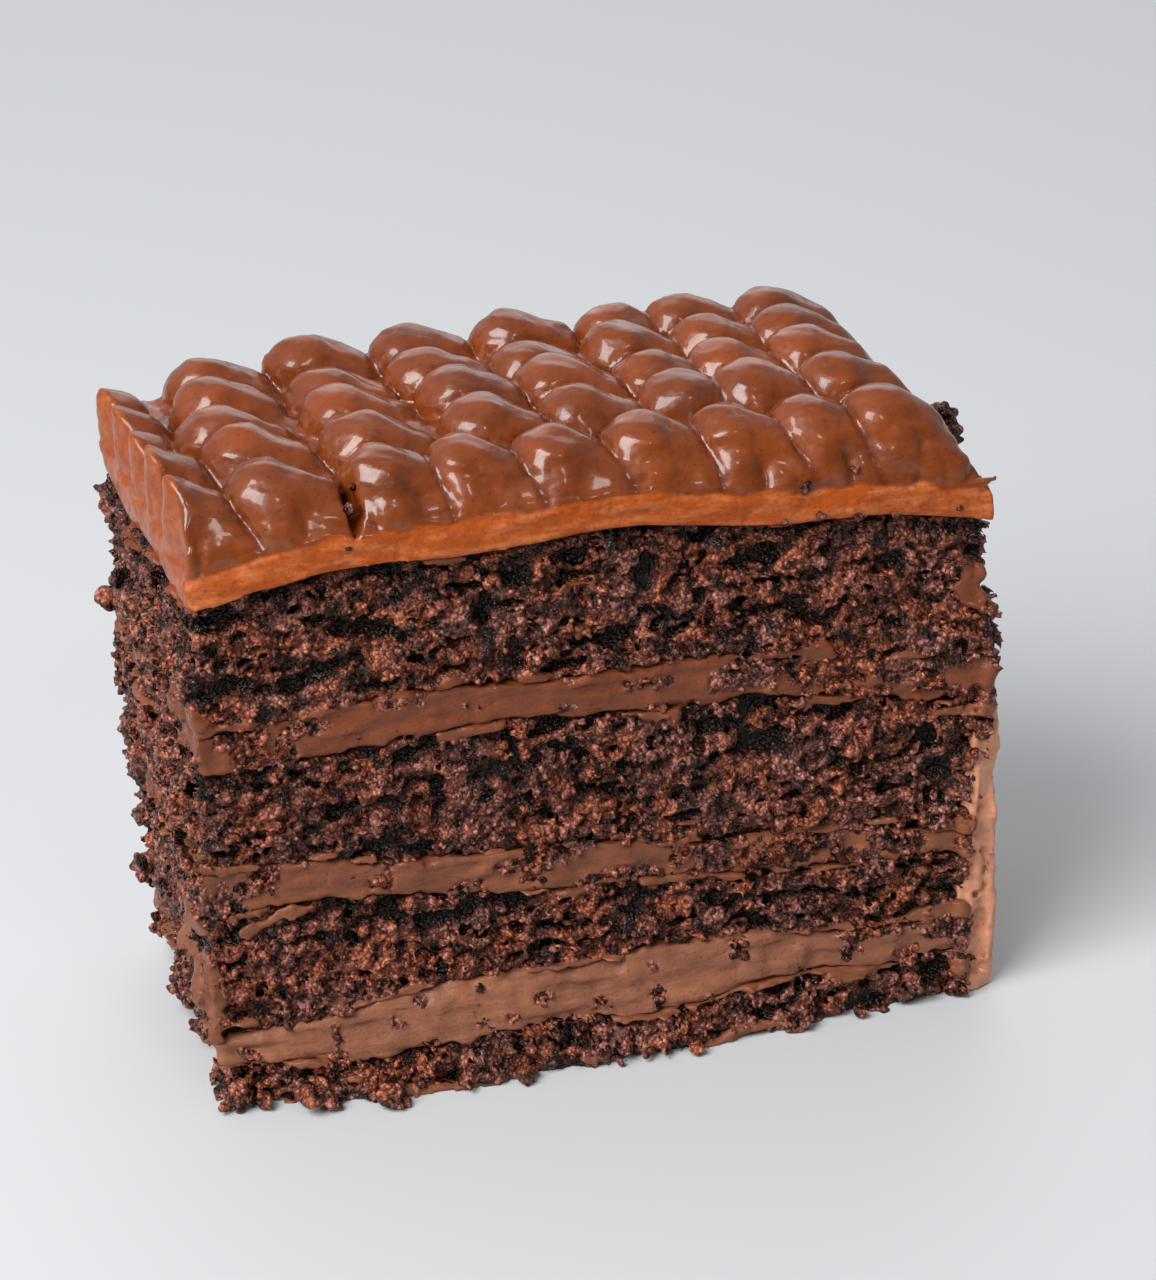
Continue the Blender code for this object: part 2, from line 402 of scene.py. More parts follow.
def thin_out(piece, most):
    """Merge the flattest faces of a piece until it has no more triangles than most."""
    count = triangles_in(piece)
    if count <= most:
        return
    thinner = piece.modifiers.new("thinner", "DECIMATE")
    thinner.ratio = most / count
    graph = bpy.context.evaluated_depsgraph_get()
    mesh = bpy.data.meshes.new_from_object(piece.evaluated_get(graph))
    piece.modifiers.clear()
    piece.data = mesh
    mesh.shade_smooth()


def make_piece(name, points, quads, most, triangles=None, **marks):
    """A smooth-shaded object from points in metres, with named point marks."""
    points[:, 2] = np.maximum(points[:, 2], 0)  # nothing goes below the floor
    mesh = bpy.data.meshes.new(name)
    triangles = np.zeros((0, 3), np.int64) if triangles is None else triangles
    mesh.vertices.add(len(points))
    mesh.vertices.foreach_set("co", np.ascontiguousarray(points, np.float32).ravel())
    mesh.loops.add(quads.size + triangles.size)
    mesh.loops.foreach_set("vertex_index", np.concatenate([quads.ravel(), triangles.ravel()]))
    starts = np.concatenate([
        np.arange(len(quads)) * 4,
        quads.size + np.arange(len(triangles)) * 3,
    ])
    mesh.polygons.add(len(starts))
    mesh.polygons.foreach_set("loop_start", starts)
    mesh.update(calc_edges=True)
    mesh.validate()
    mesh.shade_smooth()
    for mark, values in marks.items():
        layer = mesh.attributes.new(mark, "FLOAT", "POINT")
        layer.data.foreach_set("value", np.ascontiguousarray(values, np.float32))
    piece = bpy.data.objects.new(name, mesh)
    bpy.context.scene.collection.objects.link(piece)
    netted = triangles_in(piece)
    thin_out(piece, most)
    print(f"{name}: {netted} triangles netted, {triangles_in(piece)} kept")
    return piece

# %% [markdown]
# ## A ring round a layer
# Only the rim of a layer is ever seen, so we net a ring about six millimetres
# deep along its four sides, and close its hidden top and bottom with plain
# triangles. The faces that meet the eye first, the two cuts, get the finest
# cells. Going round clockwise keeps every face of the net turned outward.

# %% The ring of sample points
DEPTHS = np.array((-3.6, -2.9, -2.4, -2.0, -1.6, -1.3, -1.0, -0.7, -0.4, -0.1, 0.2, 0.5,
                   0.8, 1.1, 1.5, 1.9, 2.3, 2.7), np.float32)
RING_IN, RING_OUT = -DEPTHS[0], DEPTHS[-1]
CRUMB_STEPS = (0.4, 0.5, 1.0)
FUDGE_STEPS = (0.46, 0.55, 1.1)


def ring_rays(steps):
    """Inner and outer ends of rays that cross the rim, clockwise from the front right."""
    front, left, rest = steps
    sides = (
        ((1, 0), (0, 0), WIDE, front),
        ((0, 0), (0, 1), DEEP, left),
        ((0, 1), (1, 1), WIDE, rest),
        ((1, 1), (1, 0), DEEP, rest),
    )
    inner, outer = [], []
    for start, end, length, step in sides:
        share = np.arange(round(length / step)) / round(length / step)
        for ends, grow in ((inner, -RING_IN), (outer, RING_OUT)):
            line = []
            for k, size in enumerate((WIDE, DEEP)):
                a = start[k] * (size + 2 * grow) - grow
                b = end[k] * (size + 2 * grow) - grow
                line.append(a + (b - a) * share)
            ends.append(np.stack(line, 1))
    return np.concatenate(inner), np.concatenate(outer)


def ring_points(floor, roof, rise, above, steps):
    """A block of points round a layer: rays, then depths, then heights."""
    inner, outer = ring_rays(steps)
    share = (DEPTHS + RING_IN) / (RING_IN + RING_OUT)
    plan = inner[:, None] + (outer - inner)[:, None] * share[None, :, None]
    low = floor(plan[..., 0], plan[..., 1]) - above
    high = roof(plan[..., 0], plan[..., 1]) + above
    levels = round(float((high - low).mean()) / rise)
    t = np.arange(levels + 1) / levels
    z = low[..., None] + (high - low)[..., None] * t
    plan = np.broadcast_to(plan[:, :, None, :], z.shape + (2,))
    return np.concatenate([plan, z[..., None]], -1).astype(np.float32)


# %% [markdown]
# ## Chocolate crumb
# The fork has torn the cuts open rather than sliced them. What shows is a mass of
# moist grains less than a millimetre across, gathered in clumps and split by
# dark, slanting tears. We could scatter ball shapes, but a million of them would
# never hold together. Instead everything is laid into one field: clumps three
# millimetres across melt into a sunken body, small grains stand on both, and the
# tears are bands of noise that push all of it back.

# %% The torn skin of the sponge
TEAR_RISE = 0.14
CORNER = 0.8


def left_share(points):
    """1 on the ragged left cut, 0 on the front one."""
    return ease((2.6 - points[..., 0]) / 1.6) * ease((points[..., 1] + 0.3) / 1.2)


def swell(points, seed):
    """How far the ragged left cut and the outer side stand out."""
    ragged = 0.5 + 1.9 * noise(points, 5.6, seed) + 0.8 * noise(points, 2.4, seed + 1)
    outer = ease((points[..., 0] - WIDE + 2.2) / 1.4)
    return left_share(points) * ragged + outer * (1.2 + 0.5 * noise(points, 3.0, seed + 1))


def openings(points, seed):
    """How far the tears and pits push the crumb back."""
    slanted = points.copy()
    slanted[..., 2] -= TEAR_RISE * (points[..., 0] + points[..., 1])
    slanted[..., 2] += 2.2 * noise(points, 5.0, seed + 1)
    tear = ease((-noise(slanted, (4.6, 4.6, 1.5), seed) - 0.26) / 0.3)
    nick = ease((noise(slanted, (2.4, 2.4, 1.0), seed + 5) - 0.3) / 0.3)
    pit = ease((noise(points, 1.9, seed + 2) - 0.34) / 0.3)
    return 1.7 * tear + 0.9 * nick + 0.8 * pit


# %% Where the fork smeared fudge over the crumb
SMEARS = (
    ((-0.5, 9.0, 66.0), (0.0, 0.5, 61.0), 3.4),
    ((-0.5, 34.0, 57.0), (-0.5, 8.0, 60.0), 3.2),
    ((-0.5, 22.0, 35.0), (-0.5, 3.0, 30.0), 2.8),
    ((-0.5, 18.0, 22.0), (-0.5, 1.0, 16.0), 3.2),
    ((0.0, 2.6, 23.0), (0.5, -1.0, 12.0), 2.4),
    ((6.0, 0.0, 28.6), (17.0, 0.0, 32.5), 1.7),
    ((50.5, 0.0, 76.8), (57.0, 0.0, 75.9), 0.9),
    ((112.3, 0.0, 70.5), (112.6, 0.0, 67.0), 2.3),
    ((115.0, 0.0, 53.0), (115.0, 0.0, 48.0), 2.4),
)


def smear_share(points, seed, floor, roof):
    """1 where a smear of fudge covers the crumb."""
    x, y, z = points[..., 0], points[..., 1], points[..., 2]
    near = np.minimum(np.abs(z - roof(x, y)), np.abs(z - floor(x, y)))
    streak = noise(points, (6.0, 6.0, 1.5), seed + 9) + 0.8 * np.exp(-near / 1.5)
    share = ease((streak - 0.78) / 0.22)
    for start, end, radius in SMEARS:
        gap = rod(points, start, end, radius, radius) + 0.9 * noise(points, 2.2, seed + 10)
        share = np.maximum(share, ease(-gap / 0.7))
    return share


# %% Beds of clumps and grains
CLUMPS = dict(spacing=2.5, least=0.9, spread=0.8, flat=1.3)
GRAINS = dict(spacing=0.9, least=0.28, spread=0.36, flat=1.0)


def ball_bed(low, high, seed, stands, spacing, least, spread, flat):
    """Balls scattered through a layer, where stands(places) says that one stands."""
    start = np.array((-4.0, -4.0, low - 2.0))
    end = np.array((WIDE + 4.0, DEEP + 4.0, high + 2.0))
    counts = np.ceil((end - start) / spacing * (1, 1, flat)).astype(int)
    generator = np.random.default_rng(seed)
    lattice = np.stack(np.meshgrid(*(np.arange(n) for n in counts), indexing="ij"), -1)
    jitter = generator.random(lattice.shape, np.float32)
    places = start + (lattice + 0.5 + 0.8 * (jitter - 0.5)) * spacing / (1, 1, flat)
    places = places.astype(np.float32)
    sizes = least + spread * generator.random(lattice.shape[:3], np.float32) ** 1.6
    sizes[~stands(places) | (generator.random(sizes.shape) > 0.9)] = -5.0
    return start.astype(np.float32), places, sizes, spacing, flat


def ball_field(points, bed):
    """Distance to the nearest ball of a bed."""
    start, places, sizes, spacing, flat = bed
    stretch = np.array((1, 1, flat), np.float32)
    cell = np.floor((points - start) * stretch / spacing).astype(np.int32)
    best = np.full(points.shape[:-1], 5.0, np.float32)
    top = np.array(sizes.shape) - 1
    for number in range(27):
        step = np.array((number // 9, number // 3 % 3, number % 3)) - 1
        near = np.clip(cell + step, 0, top)
        index = (near[..., 0], near[..., 1], near[..., 2])
        apart = (points - places[index]) * stretch
        gap = np.sqrt(np.einsum("...k,...k->...", apart, apart)) - sizes[index]
        np.minimum(best, gap, out=best)
    return best


# %% Make the four sponges
CRUMB_MOST = {"bottom_sponge": 78000, "lower_sponge": 140000,
              "middle_sponge": 182000, "top_sponge": 196000}
CRUMB_RISE, CRUMB_SPARE = 0.42, 1.2
CLUMP_DEPTH, CLUMP_BAND = 1.4, 0.8
BODY_DEPTH = 1.25


def layer_limits(name):
    """The lower and upper side of a layer as functions of the flat layout."""
    return (lambda x, y: level(name, 0, x, y)), (lambda x, y: level(name, 1, x, y))


def make_sponge(name, seed):
    """A ring of torn crumb in place of one sponge."""
    floor, roof = layer_limits(name)
    points = ring_points(floor, roof, CRUMB_RISE, CRUMB_SPARE, CRUMB_STEPS)
    x, y, z = points[..., 0], points[..., 1], points[..., 2]
    low, high = float(z.min()), float(z.max())

    def outside(places):
        """Distance from the slice's uneven outline, negative inside it."""
        foot = ease((5.0 - places[..., 2]) / 4.0)
        out = inside_outline(places[..., 0], places[..., 1], CORNER) - swell(places, seed + 7)
        return out - foot * (0.4 + 1.0 * noise(places, 3.4, seed + 8))

    def within(places, slack):
        """Whether places lie between floor and roof, with some slack."""
        px, py, pz = places[..., 0], places[..., 1], places[..., 2]
        return (pz < roof(px, py) + slack) & (pz > floor(px, py) - slack)

    def holds_clump(places):
        return within(places, 0.6) & (abs(outside(places) + CLUMP_DEPTH) < CLUMP_BAND)

    clumps = ball_bed(low, high, seed + 15, holds_clump, **CLUMPS)

    def crumb(places):
        """Clumps on a sunken body, with tears between them."""
        out = outside(places)
        deep = out + BODY_DEPTH - 0.5 * noise(places, 3.8, seed + 3)
        bent = places + 0.9 * noise(places, 2.4, seed + 4)[..., None]
        field = melt(deep, ball_field(bent, clumps), 0.6) + openings(places, seed)
        field -= 0.35 * noise(places, 1.5, seed + 4)
        return np.maximum(field, out - 0.1)

    def holds_grain(places):
        return within(places, 0.2) & (abs(crumb(places) - 0.05) < 0.5)

    bed = ball_bed(low, high, seed, holds_grain, **GRAINS)
    under = 0.9 * np.exp(-np.abs(roof(x, y) - z) / 0.9) * (0.6 + noise(points, 4.0, seed + 11))
    ragged = 0.5 * noise(points, 1.6, seed + 5)
    ends = np.maximum(z - roof(x, y), floor(x, y) - z) + ragged - 0.1
    bent = points + 0.3 * np.stack([noise(points, 1.0, seed + 30 + k) for k in range(3)], -1)
    field = melt(crumb(points) + under, ball_field(bent.astype(np.float32), bed), 0.1)
    field += 0.15 * noise(points, 0.9, seed + 6) + 0.08 * noise(points, 0.5, seed + 13)
    outline = inside_outline(x, y, CORNER)
    smear = smear_share(points, seed, floor, roof)
    film = outline + 0.25 - 0.35 * noise(points, 2.6, seed + 12) + 2.4 * (1 - smear)
    film = film - swell(points, seed + 7)
    field = np.maximum(melt(field, film, 0.3), ends)
    # The inner side of the ring stays full between floor and roof, the outer side empty
    field[:, 0] = np.minimum(field[:, 0], ends[:, 0])
    field[:, -1] = np.maximum(field[:, -1], 0.1)
    spots, quads, _ = large_islands(*net(field, points, around=True))
    hubs, fans = closing_fans(spots, quads)
    spots = np.concatenate([spots, hubs])
    x, y, z = spots[:, 0], spots[:, 1], spots[:, 2]
    # Painted shade: points set back from the cut face get darker, standing in for shade in the recesses.
    hollow = ease((-outside(spots) - 0.9) / 1.6)
    damp = 0.35 * ease(noise(spots, 9.0, seed + 14) / 0.7)
    if name == "top_sponge":
        damp = np.maximum(damp, ease(1 - (roof(x, y) - z) / 5.5))
    fudge = smear_share(spots, seed, floor, roof)
    pale = 0.5 * ease((70.0 - z) / 30.0)
    piece = make_piece(name + "_crumb", settle(spots), quads, CRUMB_MOST[name], fans,
                       hollow=hollow, damp=damp, fudge=fudge, pale=pale)
    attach(piece, "root")
    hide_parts(name)
    return piece


crumb_pieces = [
    make_sponge(name, 100 + 20 * number)
    for number, name in enumerate(SPONGES)
]

# %% [markdown]
# ## Fudge fillings
# Between the sponges lies the same chocolate frosting as on top, pressed flat by
# the weight above. The fork has dragged it along the cut, so it is smooth and
# glossy with soft ridges, and crumbs stick in it. The same ring works here with
# a smoother skin that comes out a little further than the crumb and laps over it.

# %% The smeared skin of a filling
LAP = 0.25
FUDGE_MOST = 56000
FUDGE_RISE, FUDGE_SPARE = 0.45, 1.8


def smeared_skin(points, seed):
    """How far out a filling comes."""
    dragged = noise(points, (7.0, 7.0, 1.3), seed)
    fold = noise(points, 2.4, seed + 1)
    bead = noise(points, 1.1, seed + 2)
    return -0.62 + 0.42 * dragged + 0.36 * fold + 0.14 * bead


# %% Where crumbs hide the fillings
CRUMB_COVER = {"upper_filling": (-0.42, 72.0, 0.75), "middle_filling": (-0.18, 90.0, 0.2),
               "lower_filling": (-0.6, 84.0, 0.45)}
FUDGE_PALE = {"upper_filling": 0.1, "middle_filling": 0.5, "lower_filling": 1.0}


def crumb_cover(points, name, seed):
    """Above 0 where crumbs cover the filling, more so on the left cut."""
    start, turn, more = CRUMB_COVER[name]
    patchy = noise(points, (4.4, 4.4, 2.2), seed + 5) + 0.45 * noise(points, 1.5, seed + 6)
    right = ease((points[..., 0] - turn) / 12.0)
    side = ease((1.0 - points[..., 0]) / 1.5)
    return patchy + start + more * right + (0.3 - start) * side


def make_filling(name, seed):
    """A ring of smeared fudge, with crumbs stuck in it, in place of one filling."""
    floor, roof = layer_limits(name)
    points = ring_points(floor, roof, FUDGE_RISE, FUDGE_SPARE, FUDGE_STEPS)
    x, y, z = points[..., 0], points[..., 1], points[..., 2]
    outline = inside_outline(x, y, CORNER)
    cover = ease((crumb_cover(points, name, seed) + 0.1) / 0.3)
    body = outline - smeared_skin(points, seed) + 0.5 * cover - swell(points, seed + 7)
    ragged = 0.7 * noise(points, (3.6, 3.6, 2.0), seed + 3) + 0.4 * noise(points, 1.2, seed + 4)
    ends = np.maximum(z - roof(x, y), floor(x, y) - z) - LAP + ragged
    body = -melt(-body, -ends, 0.7)

    def stands(places):
        """Where a stuck crumb stands on the fudge."""
        px, py, pz = places[..., 0], places[..., 1], places[..., 2]
        out = inside_outline(px, py, CORNER) + 0.75 - swell(places, seed + 7)
        level_in = (pz < roof(px, py) + 0.8) & (pz > floor(px, py) - 0.8)
        return (abs(out) < 0.55) & level_in & (crumb_cover(places, name, seed) > 0)

    bed = ball_bed(float(z.min()), float(z.max()), seed, stands, **GRAINS)
    grains = ball_field(points, bed) + 0.17 * noise(points, 0.9, seed + 9)
    field = np.minimum(body, grains)
    field[:, 0] = np.minimum(body[:, 0], ends[:, 0])
    field[:, -1] = np.maximum(field[:, -1], 0.1)
    spots, quads, _ = large_islands(*net(field, points, around=True))
    hubs, fans = closing_fans(spots, quads)
    spots = np.concatenate([spots, hubs])
    x, y = spots[:, 0], spots[:, 1]
    grainy_here = ball_field(spots, bed) < 0.12
    fudge = 1 - np.maximum(grainy_here, ease(crumb_cover(spots, name, seed) / 0.25))
    # Painted shade: crumb-covered points set back from the cut face get darker, standing in for shade in
    # the recesses.
    hollow = (1 - fudge) * ease((-inside_outline(x, y, CORNER) - 0.7 + swell(spots, seed + 7)) / 2.0)
    pale = np.full(len(spots), FUDGE_PALE[name])
    piece = make_piece(name + "_fudge", settle(spots), quads, FUDGE_MOST, fans,
                       hollow=hollow, damp=np.zeros(len(spots)), fudge=fudge, pale=pale)
    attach(piece, "root")
    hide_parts(name)
    return piece


fudge_pieces = [
    make_filling(name, 300 + 10 * number)
    for number, name in enumerate(FILLINGS)
]

# %% [markdown]
# ## Piped frosting
# The top carries rows of short, fat curls. Each was pressed from a nozzle, pulled
# to the right and dropped into the groove before the next one. On a slab of
# frosting we lay, for each curl, four tapered rods joined softly: a high ridge, a
# round face that falls toward the front, a fold beside it, and a tail that runs
# down to the right. The rows at the back peek through between the curls in front.

# %% Where the curls stand
CREST = icing_high.z - 0.8
FRONT_ROW = (0, 15, 30, 42, 56, 68, 80, 91, 103)
BACK_COLUMNS = (-1, 15, 32, 48, 62, 76, 88, 100.5)
ROW_PLACES = (8.3, 19.5, 29, 38, 47)
ROW_DRIFT = 0.7
CURL_RADIUS = 6.0
CURL_SCATTER = 0.7
LEFT_BACK_DROP = 2.6
BACK_SHIFT = 1.7


def curl_list():
    """The place, crest and radius of every curl."""
    rng = random.Random(7)
    curls = []
    for row, place in enumerate(ROW_PLACES):
        for column in FRONT_ROW if row == 0 else BACK_COLUMNS:
            x = column - ROW_DRIFT * max(row - 1, 0) + rng.gauss(0, CURL_SCATTER)
            x += BACK_SHIFT * max(0, row - 2) * (column == 15)
            y = place + rng.gauss(0, CURL_SCATTER) * min(row, 1)
            crest = CREST + rng.gauss(0, CURL_SCATTER / 2)
            crest -= LEFT_BACK_DROP * max(0, 1 - x / 36) * place / DEEP + 0.8 * (row == 0)
            radius = CURL_RADIUS * rng.uniform(0.94, 1.05)
            curls.append((x, y, crest, radius))
    return curls


curls = curl_list()
turns = random.Random(11)
print(len(curls), "curls, crests at", round(CREST, 1), "mm")

# %% Build the frosting field
ICING_CELL = 0.46
ICING_MOST = 140000
BAND_TALL = 5.0
FILL_TALL = 8.6
ROUND_WIDE = 3.0
GROOVE_WIDE, GROOVE_DEEP = 0.7, 0.25
CRACK_PLACE = 23.6
WAVE_LENGTH = 9.7
LEDGE = 0.35


def icing_floor(x, y):
    """The level that the frosting stands on."""
    return level("top_sponge", 1, x, y) + 0.05


def curl_field(points, curl, turn):
    """One curl: its ridge, its face, its fold and its tail."""
    x, y, crest, radius = curl
    middle = crest - radius
    c, s = math.cos(turn), math.sin(turn)
    room = min(1.0, max(0.25, (WIDE - x - 3.0) / 15.0))

    def at(dx, dy, dz):
        return x + dx * c - dy * s, y + dx * s + dy * c, middle + dz

    head, shoulder = at(-1.4, 0, 0), at(4.6 * room, -0.9, -1.9)
    ridge = rod(points, head, shoulder, radius * 1.04, radius * 0.9)
    face = rod(points, at(-1.4, -0.6, -0.2), at(-1.0, -5.0, -4.4), radius * 1.0, radius * 0.76)
    fold = rod(points, at(4.0 * room, -1.2, -1.8), at(5.4 * room, -5.6, -5.4), radius * 0.8, radius * 0.62)
    tail = rod(points, shoulder, at(11.0 * room, -6.0, -5.2), radius * 0.9, radius * 0.5)
    return melt(melt(melt(ridge, face, 0.4), fold, 0.2), tail, 0.3)


def pile_curls(field, points, xs, ys):
    """Add every curl to the field, and return where two of them meet."""
    nearest = np.full(field.shape, 9.0, np.float32)
    second = nearest.copy()
    for curl in curls:
        turn = turns.uniform(-0.15, 0.15)
        i = np.searchsorted(xs, (curl[0] - 10, curl[0] + 19))
        j = np.searchsorted(ys, (curl[1] - 16, curl[1] + 10))
        block = (slice(*i), slice(*j))
        gap = curl_field(points[block], curl, turn)
        field[block] = melt(field[block], gap, 0.4)
        second[block] = np.minimum(second[block], np.maximum(nearest[block], gap))
        nearest[block] = np.minimum(nearest[block], gap)
    return np.exp(-((second - nearest) / GROOVE_WIDE) ** 2)


def trimmed(field, points, rise):
    """The field cut at the four sides, wavy at the left and pitted by the knife."""
    x, y = points[..., 0], points[..., 1]
    waves = 0.7 * np.cos(2 * np.pi * (y - ROW_PLACES[0]) / WAVE_LENGTH) * ease((rise - 1.0) / 5.0)
    trim = np.maximum.reduce([x - WIDE - 0.4, -y, y - DEEP])
    trim = -melt(-trim, x + waves, 2.2)
    pocks = ease((noise(points, 1.0, 404) - 0.4) / 0.4)
    trim += 0.3 * noise(points, (5.0, 5.0, 2.6), 405) + 0.12 * noise(points, 0.9, 406) + 0.15 * pocks
    ledge = LEDGE * ease((BAND_TALL - 0.3 - rise) / 0.6)
    return -melt(-field, ledge - trim, 1.2 * ease((rise - 4.0) / 3.0) + 0.15)


def make_frosting():
    """The slab and all its curls as one net, with a mark for the grooves, where shade is painted."""
    xs = np.arange(-4.4, WIDE + 2.4, ICING_CELL)
    ys = np.arange(-1.4, DEEP + 1.4, ICING_CELL)
    zs = np.arange(-0.9, 19.5, ICING_CELL)
    x, y, rise = np.meshgrid(xs, ys, zs, indexing="ij")
    floor = icing_floor(x[..., 0], y[..., 0])[..., None]
    points = np.stack([x, y, rise + floor], -1).astype(np.float32)
    x, y, rise = points[..., 0], points[..., 1], rise.astype(np.float32)
    edge = np.minimum(y, WIDE - x)
    rounding = np.maximum(0, ROUND_WIDE - np.clip(edge - 0.7, 0, ROUND_WIDE)) ** 2 / ROUND_WIDE
    field = rise - np.maximum(FILL_TALL - 1.1 * rounding, BAND_TALL)
    field += 0.5 * noise(points, 4.0, 401)
    # Where two curls meet, a narrow crease stays open
    groove = pile_curls(field, points, xs, ys)
    field += GROOVE_DEEP * groove
    # Pulling the nozzle away leaves soft creases along the curls
    along = points @ np.array(((0.88, 0.35, 0.3), (-0.42, 0.85, 0.3), (-0.2, -0.38, 0.9)), np.float32)
    field += 0.2 * noise(along, (5.0, 1.3, 1.3), 402) + 0.3 * noise(points, 3.2, 403)
    cracks = ease((rise - 3.0) / 4.0) * ease((9.5 - y) / 5.0)
    wander = 0.8 * noise(points, 3.0, 408)
    crack = 1.1 * cracks - np.abs(x - CRACK_PLACE + 0.35 * (rise - 6.0) * -0.3 + wander)
    field = -melt(-field, -crack, 0.6)
    field = trimmed(field, points, rise)
    tip = rod(points, (WIDE - 5.0, 0.9, CREST - 14.6), (WIDE + 1.2, 0.4, CREST - 13.2), 1.1, 0.35)
    field = melt(field, tip, 0.5)
    field = np.maximum(field, -rise)
    spots, quads = net(field, points)
    base = spots[:, 2] - icing_floor(spots[:, 0], spots[:, 1])
    cell = np.stack((spots[:, 0] - xs[0], spots[:, 1] - ys[0], base - zs[0]), 1) / ICING_CELL
    # Painted shade: the groove mark darkens the frosting where two curls meet.
    crease = groove[tuple(np.clip(np.rint(cell).astype(int), 0, np.array(groove.shape) - 1).T)]
    rim = inside_outline(spots[:, 0], spots[:, 1], 0.8)
    hidden = (np.abs(base) < 0.25) & (rim < -3.0)
    quads = quads[~hidden[quads].all(1)]
    spots, quads, used = large_islands(spots, quads)
    return spots, quads, crease[used]


spots, quads, crease = make_frosting()


# Close the open underside with a fan to one point under its middle
middle = (WIDE / 2, DEEP / 2)
hub = (*middle, float(icing_floor(*middle)) - 0.3)
fans = fan_to(open_rim(quads), len(spots))
spots = np.concatenate([spots, [hub]])
band = spots[:, 2] - icing_floor(spots[:, 0], spots[:, 1]) - BAND_TALL - 0.7 * noise(spots, 3.0, 407)
cut = ease((0.9 - spots[:, 1]) / 0.4) * ease(-band / 0.6)
cut = np.maximum(cut, 0.4 * ease((1.2 - spots[:, 0]) / 1.0))
crease = np.append(crease, 0.0)
icing = make_piece("piped_frosting", settle(spots), quads, ICING_MOST, fans,
                   cut=cut, crease=crease)
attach(icing, "root")
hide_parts("top_frosting")

# %% [markdown]
# ## The coat on the outer side
# The right side of the slice was the outside of the whole cake, so it carries a
# spread coat of frosting. It is thick at the foot, where the knife pushed it
# down, and thins out toward a torn rim.

# %% Spread the side coat
COAT_CELL = 0.5
COAT_MOST = 40000
COAT_FOOT, COAT_RIM = 5.2, 2.4
RIM_FRONT, RIM_RISE = 43.0, 29.0


def make_coat():
    """A spread slab that leans on the right side."""
    outs = np.arange(-2.0, 7.6, 0.42)
    ys = np.arange(-1.0, DEEP + 1.0, COAT_CELL)
    zs = np.arange(-0.6, 77.0, COAT_CELL)
    out, y, z = np.meshgrid(outs, ys, zs, indexing="ij")
    points = np.stack([WIDE + out, y, z], -1).astype(np.float32)
    out, y, z = out.astype(np.float32), y.astype(np.float32), z.astype(np.float32)
    flat = points * np.array((0, 1, 0), np.float32)
    rim = RIM_FRONT + RIM_RISE * np.clip(y / DEEP, 0, 1) + 3.0 * noise(flat, 9.0, 501)
    rim += 2.0 * noise(flat, 3.0, 502) + 1.2 * noise(points, 2.0, 506)
    thick = COAT_RIM + (COAT_FOOT - COAT_RIM) * np.clip(1.15 - z / rim, 0, 1) ** 0.8
    thick += 0.5 * noise(points, (6.0, 9.0, 5.0), 503) + 0.3 * noise(points, 1.3, 504)
    field = -melt(thick - out, rim - z, 2.5)
    front = 0.6 + 0.7 * noise(points, (1.1, 3.0, 7.0), 507) + 0.8 * ease(noise(points, 1.2, 508) / 0.6)
    field = -melt(-field, y - front, 0.8)
    field = np.maximum.reduce([field, -out - 1.4, y - DEEP + 0.5, -z])
    return net(field + 0.2 * noise(points, 1.0, 505), points)


spots, quads = make_coat()
coat = make_piece("side_coat", settle(spots), quads, COAT_MOST)
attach(coat, "root")
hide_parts("side_frosting")

# %% [markdown]
# ## Crumbs that broke loose
# Cutting pushed lumps of crumb out at the foot and the left edge, and a few wet
# crumbs stuck to the frosting. Each lump is a handful of grains melted together
# in its own small field, and all of them become one piece.

# %% Press the loose crumbs on
LUMPS = (
    # At the foot of the front cut: x, y, z and radius in millimetres
    (0.6, -0.4, 2.2, 2.5), (-1.6, -0.9, 1.3, 1.3), (4.2, -0.8, 1.5, 1.5), (11.2, -1.2, 2.4, 3.0),
    (13.6, -1.8, 1.2, 1.5), (22.6, -1.5, 2.0, 2.6), (24.2, -2.2, 0.9, 1.1), (43.0, -0.7, 1.2, 1.5),
    (58.0, -0.4, 1.0, 1.1), (70.0, -0.6, 1.3, 1.6), (88.0, -0.4, 1.4, 1.4), (97.0, -0.5, 1.0, 1.3),
    # Along the ragged left edge
    (-0.8, 46.5, 61.0, 2.6), (-0.6, 46.6, 39.0, 1.8), (-0.7, 46.5, 15.0, 2.4), (-1.3, 26.0, 5.0, 2.6),
    (-1.0, 33.0, 3.0, 2.2), (-1.2, 17.0, 3.6, 1.8), (-0.6, 40.0, 8.0, 2.2),
    # Behind the right edge of the frosting
    (114.9, 16.0, 85.0, 2.6), (114.7, 18.8, 86.8, 2.3), (114.4, 21.6, 85.8, 1.9),
    # Stuck to the frosting and in its crack
    (87.6, -0.2, 87.2, 1.25), (95.2, 1.0, 88.6, 0.85), (89.7, -0.5, 82.8, 1.0), (69.5, -0.3, 86.4, 0.6),
    (95.5, -0.5, 81.9, 0.8), (101.0, -0.5, 81.3, 0.7), (84.6, -0.5, 82.2, 0.8), (23.4, 2.8, 91.2, 1.2),
    (22.6, -0.1, 86.6, 0.6), (24.6, 5.0, 93.4, 1.0), (110.6, -0.4, 81.0, 0.8),
)
LUMP_CELL = 0.32
LUMPS_MOST = 30000


